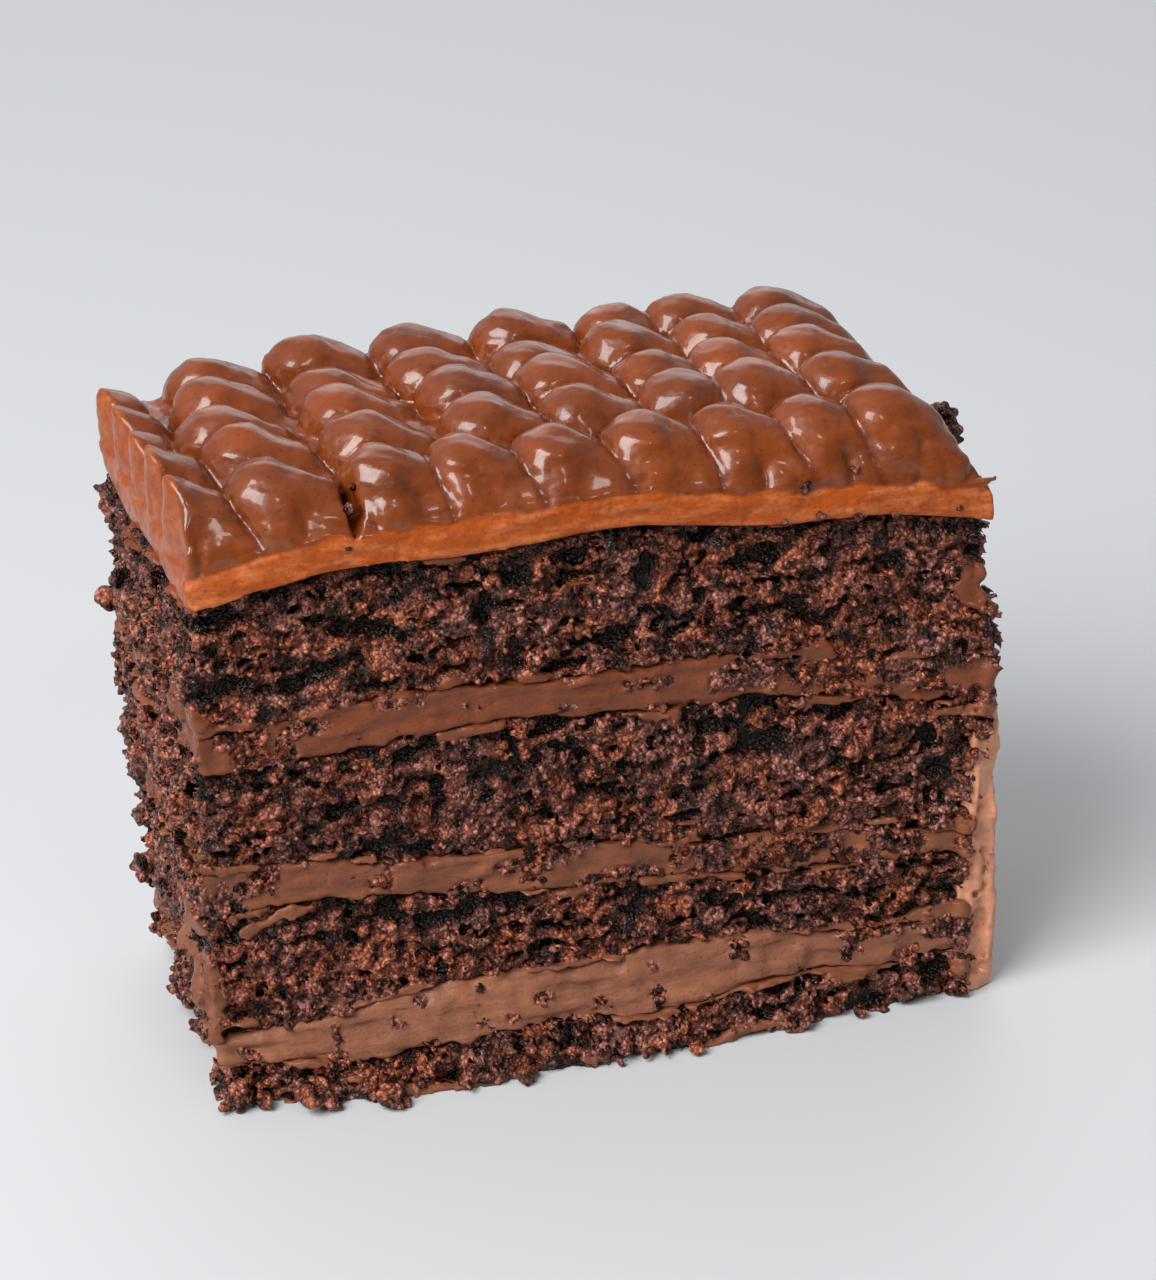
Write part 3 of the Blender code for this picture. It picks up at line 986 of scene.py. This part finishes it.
def lump_net(place, radius, seed):
    """The net of one lump of crumb."""
    generator = np.random.default_rng(seed)
    reach = radius * 1.35 + 0.8
    steps = np.arange(-reach, reach + LUMP_CELL, LUMP_CELL)
    offset = np.stack(np.meshgrid(steps, steps, steps, indexing="ij"), -1).astype(np.float32)
    field = np.sqrt((offset ** 2).sum(-1)) - radius * 0.62
    for _ in range(int(8 + 5 * radius)):
        toward = generator.normal(size=3)
        spot = toward / np.linalg.norm(toward) * radius * generator.uniform(0.35, 0.85)
        grain = radius * generator.uniform(0.22, 0.42)
        away = np.sqrt(((offset - spot.astype(np.float32)) ** 2).sum(-1)) - grain
        field = melt(field, away, 0.15)
    points = offset + np.array(place, np.float32)
    field += 0.3 * noise(points, 1.3, 601) + 0.14 * noise(points, 0.6, 602)
    field = np.maximum(field, 0.05 - points[..., 2])
    border = np.ones(field.shape, bool)
    border[1:-1, 1:-1, 1:-1] = False
    field[border] = np.maximum(field[border], 0.1)
    return net(field, points)


def press_lumps():
    """All lumps as one set of points and faces."""
    all_spots, all_quads, count = [], [], 0
    for number, (*place, radius) in enumerate(LUMPS):
        spots, quads = lump_net(place, radius, 700 + number)
        all_spots.append(spots)
        all_quads.append(quads + count)
        count += len(spots)
    return np.concatenate(all_spots), np.concatenate(all_quads)


spots, quads = press_lumps()
still = np.zeros(len(spots))
soaked = 0.5 * ease((spots[:, 2] - 78.0) / 3.0)
loose = make_piece("clinging_crumbs", settle(spots), quads, LUMPS_MOST,
                   hollow=still, damp=soaked, fudge=still, pale=still)
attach(loose, "root")

# %% [markdown]
# ## Chocolate, moist and matt
# Every finish here is the same chocolate in another state. Sponge is dark and
# wet in places, fudge is warmer and shines, and a knife cut leaves a duller,
# lighter skin. Each material starts from one colour and lets soft noise carry it
# toward a lighter and a darker neighbour. Noise also decides where the surface is
# wet, because broken highlights are what make chocolate look moist. The scales
# below count lumps of noise per metre: 400 makes lumps of two or three millimetres.
# Shade in the crumb's pores, between its grains, in its recesses and in the frosting's creases is painted
# into the colour.

# %% A short way to wire materials
def new_material(name):
    """A node material with its shader, and helpers to add nodes and links."""
    material = bpy.data.materials.new(name)
    material.use_nodes = True
    nodes, links = material.node_tree.nodes, material.node_tree.links
    shader = nodes["Principled BSDF"]
    shader.inputs["IOR"].default_value = 1.46

    def add(kind, **settings):
        node = nodes.new(kind)
        for key, value in settings.items():
            if hasattr(node, key):
                setattr(node, key, value)
            else:
                socket = node.inputs[key.replace("_", " ")]
                if isinstance(value, bpy.types.NodeSocket):
                    links.new(value, socket)
                else:
                    socket.default_value = value
        return node

    return material, shader, add, links


def grainy(add, place, scale, detail=4.0, rough=0.55):
    """Noise from 0 to 1 over the object's own space."""
    node = add("ShaderNodeTexNoise", Vector=place, Scale=scale, Detail=detail, Roughness=rough)
    return node.outputs["Fac"]


def ramp(add, value, *stops):
    """Turn a value into a colour or a strength through stops."""
    node = add("ShaderNodeValToRGB", Fac=value)
    elements = node.color_ramp.elements
    while len(elements) < len(stops):
        elements.new(0.5)
    for element, (position, shade) in zip(elements, stops):
        element.position = position
        element.color = (*shade, 1) if isinstance(shade, tuple) else (shade, shade, shade, 1)
    return node.outputs["Color"]


def blend(add, share, one, two, how="MIX"):
    """Mix two colours."""
    node = add("ShaderNodeMix", data_type="RGBA", blend_type=how)
    for socket, value in zip((node.inputs[0], node.inputs[6], node.inputs[7]), (share, one, two)):
        if isinstance(value, bpy.types.NodeSocket):
            node.id_data.links.new(value, socket)
        else:
            socket.default_value = (*value, 1) if isinstance(value, tuple) else value
    return node.outputs[2]


def bump(add, links, shader, *coats):
    """Stack bumps of a height, a strength and a depth in metres."""
    normal = None
    for height, strength, depth in coats:
        node = add("ShaderNodeBump", Height=height, Strength=strength, Distance=depth)
        if normal is not None:
            links.new(normal, node.inputs["Normal"])
        normal = node.outputs["Normal"]
    links.new(normal, shader.inputs["Normal"])


# %% The looks of crumb and of fudge
def pebbles(add, place, scale):
    """Rounded grains: high in the middle of a cell, low at its border."""
    node = add("ShaderNodeTexVoronoi", Vector=place, Scale=scale)
    return ramp(add, node.outputs["Distance"], (0.0, 1.0), (0.35, 0.75), (0.75, 0.0)), node.outputs["Color"]


def crumb_look(add, place):
    """Colour, roughness and height of dark moist sponge with wet grains, and painted shade between grains,
    in pores and in recesses.
    """
    grains, tone = pebbles(add, place, 1700.0)
    grains = blend(add, 0.45, grains, grainy(add, place, 1500.0, 3.0, 0.6))
    broad = grainy(add, place, 130.0, 3.0)
    mottle = blend(add, 0.45, grainy(add, place, 600.0, 4.0, 0.65), tone)
    warm = ramp(add, mottle, (0.3, (0.06, 0.011, 0.005)), (0.5, (0.24, 0.06, 0.028)),
                (0.7, (0.6, 0.19, 0.09)))
    cool = ramp(add, mottle, (0.3, (0.05, 0.014, 0.01)), (0.5, (0.2, 0.066, 0.046)),
                (0.7, (0.52, 0.22, 0.16)))
    colour = blend(add, ramp(add, broad, (0.42, 0.0), (0.6, 1.0)), warm, cool)
    # Painted shade: the borders between grains are darkened.
    grain_gap_shade = ramp(add, grains, (0.1, (0.3, 0.25, 0.24)), (0.5, (1.1, 1.1, 1.15)))
    colour = blend(add, 1.0, colour, grain_gap_shade, "MULTIPLY")
    # Painted shade: noise patches are darkened almost to black, standing in for shade in deep pores.
    pore_shade = ramp(add, grainy(add, place, 380.0, 3.0, 0.6),
                (0.4, (0.08, 0.06, 0.06)), (0.52, (0.95, 0.93, 0.93)))
    colour = blend(add, 1.0, colour, pore_shade, "MULTIPLY")
    # Painted shade: the recess mark darkens the colour where shade falls in recesses.
    hollow = add("ShaderNodeAttribute", attribute_name="hollow").outputs["Fac"]
    painted_recess_shade = ramp(add, hollow, (0.0, (1.0, 1.0, 1.0)), (0.35, (0.34, 0.24, 0.2)), (0.8, (0.05, 0.03, 0.025)))
    colour = blend(add, 1.0, colour, painted_recess_shade, "MULTIPLY")
    damp = add("ShaderNodeAttribute", attribute_name="damp").outputs["Fac"]
    soaked = ramp(add, damp, (0.0, (1.0, 1.0, 1.0)), (1.0, (0.32, 0.25, 0.24)))
    colour = blend(add, 1.0, colour, soaked, "MULTIPLY")
    wet = ramp(add, grainy(add, place, 420.0, 4.0, 0.7), (0.36, 0.5), (0.49, 0.22), (0.6, 0.08))
    wet = blend(add, damp, wet, (0.14, 0.14, 0.14))
    return colour, wet, grains


def fudge_look(add, place, tint, shine):
    """Colour, roughness and two heights of smooth chocolate frosting."""
    cloud = grainy(add, place, 90.0, 3.0)
    streaks = add("ShaderNodeMapping", Vector=place, Rotation=(0.3, 0.2, 0.5), Scale=(160.0, 620.0, 620.0))
    streak = grainy(add, streaks.outputs["Vector"], 1.0, 4.0, 0.6)
    speck = grainy(add, place, 1500.0, 3.0, 0.6)
    deep, mid, pale = (tuple(c * k for c in tint) for k in (0.6, 1.0, 1.4))
    colour = ramp(add, cloud, (0.3, deep), (0.5, mid), (0.7, pale))
    colour = blend(add, 0.45, colour, ramp(add, streak, (0.3, deep), (0.7, pale)))
    dots = ramp(add, speck, (0.3, (0.45, 0.35, 0.32)), (0.38, (1.0, 1.0, 1.0)))
    colour = blend(add, 0.8, colour, dots, "MULTIPLY")
    gloss = ramp(add, grainy(add, place, 300.0, 4.0, 0.65), (0.35, shine + 0.16), (0.65, shine - 0.06))
    return colour, gloss, streak, speck


# %% The finish of the torn cuts
def cut_finish(tint):
    """Crumb, with fudge where the point mark says so."""
    material, shader, add, links = new_material("torn_chocolate_cut")
    shader.inputs["Specular IOR Level"].default_value = 0.32
    place = add("ShaderNodeTexCoord").outputs["Object"]
    crumb, wet, grains = crumb_look(add, place)
    fudge, gloss, streak, speck = fudge_look(add, place, tint, 0.24)
    pale = add("ShaderNodeAttribute", attribute_name="pale").outputs["Fac"]
    lighten = ramp(add, pale, (0.0, (1.0, 1.0, 1.0)), (1.0, (1.5, 2.25, 3.6)))
    fudge = blend(add, 1.0, fudge, lighten, "MULTIPLY")
    gloss = blend(add, pale, gloss, (0.45, 0.45, 0.45))
    share = add("ShaderNodeAttribute", attribute_name="fudge").outputs["Fac"]
    share = blend(add, 0.25, share, grainy(add, place, 900.0, 3.0, 0.6))
    share = ramp(add, share, (0.42, 0.0), (0.56, 1.0))
    links.new(blend(add, share, crumb, fudge), shader.inputs["Base Color"])
    links.new(blend(add, share, wet, gloss), shader.inputs["Roughness"])
    height = blend(add, share, grains, blend(add, 0.93, grains, streak))
    bump(add, links, shader, (height, 1.0, 0.0005), (speck, 0.4, 0.0002))
    return material


cut_material = cut_finish((0.158, 0.039, 0.0125))
for piece in (*crumb_pieces, *fudge_pieces, loose):
    piece.data.materials.append(cut_material)
print("torn cut finish on", len(crumb_pieces + fudge_pieces), "pieces")


# %% The finish of the frosting
def frosting_finish(name, tint, shine, cut_tint=None):
    """Smooth chocolate frosting, with a duller skin where a knife went and, given a cut tint, painted shade
    in the creases between curls.
    """
    material, shader, add, links = new_material(name)
    shader.inputs["Specular IOR Level"].default_value = 0.3
    shader.inputs["Coat Weight"].default_value = 0.5
    shader.inputs["Coat Roughness"].default_value = 0.09
    place = add("ShaderNodeTexCoord").outputs["Object"]
    colour, gloss, streak, speck = fudge_look(add, place, tint, shine)
    if cut_tint:
        # Painted shade in the creases where two curls meet.
        crease = add("ShaderNodeAttribute", attribute_name="crease").outputs["Fac"]
        shade = ramp(add, crease, (0.35, (1.0, 1.0, 1.0)), (1.0, (0.62, 0.5, 0.42)))
        colour = blend(add, 1.0, colour, shade, "MULTIPLY")
        cut = add("ShaderNodeAttribute", attribute_name="cut").outputs["Fac"]
        pitted = ramp(add, grainy(add, place, 1600.0, 4.0, 0.7),
                      (0.3, (0.62, 0.5, 0.44)), (0.5, (1.0, 1.0, 1.0)))
        fibres = ramp(add, streak, (0.45, 0.0), (0.72, 1.0))
        paler = (cut_tint[0] * 1.5, cut_tint[1] * 2.6, 0.05)
        dull = blend(add, 1.0, blend(add, fibres, cut_tint, paler), pitted, "MULTIPLY")
        colour = blend(add, cut, colour, dull)
        gloss = blend(add, cut, gloss, (0.55, 0.55, 0.55))
        links.new(blend(add, cut, (0.5, 0.5, 0.5), (0.05, 0.05, 0.05)), shader.inputs["Coat Weight"])
    links.new(colour, shader.inputs["Base Color"])
    links.new(gloss, shader.inputs["Roughness"])
    ripple = grainy(add, place, 430.0, 1.0, 0.5)
    bump(add, links, shader, (ripple, 0.5, 0.0006), (streak, 0.3, 0.0004), (speck, 0.12, 0.0002))
    return material


PIPED_TINT, BAND_TINT, COAT_TINT = (0.175, 0.034, 0.004), (0.36, 0.062, 0.001), (0.56, 0.235, 0.125)
icing.data.materials.append(frosting_finish("glossy_frosting", PIPED_TINT, 0.28, BAND_TINT))
coat.data.materials.append(frosting_finish("spread_frosting", COAT_TINT, 0.42))

# %% [markdown]
# ## The table, the light and the camera
# The slice stands on a plain pale floor. A wide soft light on the left gives the
# broad highlights, a small one in front adds glints on wet crumb, and the pale
# surroundings fill the rest.

# %% Lay the floor
def lay_floor():
    """A wide pale floor."""
    mesh = bpy.data.meshes.new("floor")
    reach = 6.0
    mesh.from_pydata([(-reach, -reach, 0), (reach, -reach, 0), (reach, reach, 0), (-reach, reach, 0)],
                     [], [(0, 1, 2, 3)])
    floor = bpy.data.objects.new("floor", mesh)
    bpy.context.scene.collection.objects.link(floor)
    material, shader, add, links = new_material("pale_floor")
    shader.inputs["Base Color"].default_value = (0.54, 0.55, 0.56, 1)
    shader.inputs["Roughness"].default_value = 0.55
    mesh.materials.append(material)


lay_floor()

# %% Hang the lights
heart = Vector(((LEFT + WIDE / 2) * MM, (FRONT + DEEP / 2) * MM, 0.05))


def soft_light(name, toward, away, size, watts):
    """A square light that faces the slice from some way off."""
    light = bpy.data.lights.new(name, "AREA")
    light.shape = "SQUARE"
    light.size = size
    light.energy = watts
    lamp = bpy.data.objects.new(name, light)
    direction = Vector(toward).normalized()
    lamp.location = heart + direction * away
    lamp.rotation_euler = direction.to_track_quat("Z", "Y").to_euler()
    bpy.context.scene.collection.objects.link(lamp)


soft_light("window_left", (-0.6, -0.38, 0.7), 1.2, 0.74, 21.0)
soft_light("glint_front", (0.12, -0.7, 0.7), 1.2, 0.16, 0.9)
soft_light("soft_back", (0.25, 0.85, 0.5), 1.6, 1.2, 4.0)

# %% Make the room bright behind the slice and dim in front of it
def light_room():
    """A soft room whose light grows toward the back and the left."""
    world = bpy.data.worlds.new("pale_room")
    world.use_nodes = True
    nodes, links = world.node_tree.nodes, world.node_tree.links
    place = nodes.new("ShaderNodeTexCoord")
    toward = nodes.new("ShaderNodeVectorMath")
    toward.operation = "DOT_PRODUCT"
    toward.inputs[1].default_value = (-0.42, 0.8, 0.42)
    links.new(place.outputs["Generated"], toward.inputs[0])
    strength = nodes.new("ShaderNodeMapRange")
    strength.inputs["From Min"].default_value = -0.7
    strength.inputs["From Max"].default_value = 0.8
    strength.inputs["To Min"].default_value = 0.17
    strength.inputs["To Max"].default_value = 0.6
    links.new(toward.outputs["Value"], strength.inputs["Value"])
    background = nodes["Background"]
    background.inputs["Color"].default_value = (0.93, 0.95, 1.0, 1)
    links.new(strength.outputs["Result"], background.inputs["Strength"])
    bpy.context.scene.world = world


light_room()
bpy.context.scene.view_settings.view_transform = "Standard"

# %% Set up the camera
YAW, PITCH, ROLL = (math.radians(angle) for angle in (15.93, 26.70, -0.25))
ahead = Vector((math.sin(YAW) * math.cos(PITCH), math.cos(YAW) * math.cos(PITCH), -math.sin(PITCH)))
side = ahead.cross(Vector((0, 0, 1))).normalized()
upward = side.cross(ahead)
right_hand = math.cos(ROLL) * side + math.sin(ROLL) * upward
overhead = math.cos(ROLL) * upward - math.sin(ROLL) * side
lens = bpy.data.cameras.new("camera")
lens.lens = 114.2
lens.sensor_width = 36.0
camera = bpy.data.objects.new("camera", lens)
bpy.context.scene.collection.objects.link(camera)
stance = Matrix((right_hand, overhead, -ahead)).transposed().to_4x4()
stance.translation = Vector((-0.1433, -0.5091, 0.3228))
camera.matrix_world = stance
bpy.context.scene.camera = camera

# %% Note the sizes and finish
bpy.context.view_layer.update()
total = sum(triangles_in(piece) for piece in (*crumb_pieces, *fudge_pieces, icing, coat, loose))
print("triangles in all:", total)
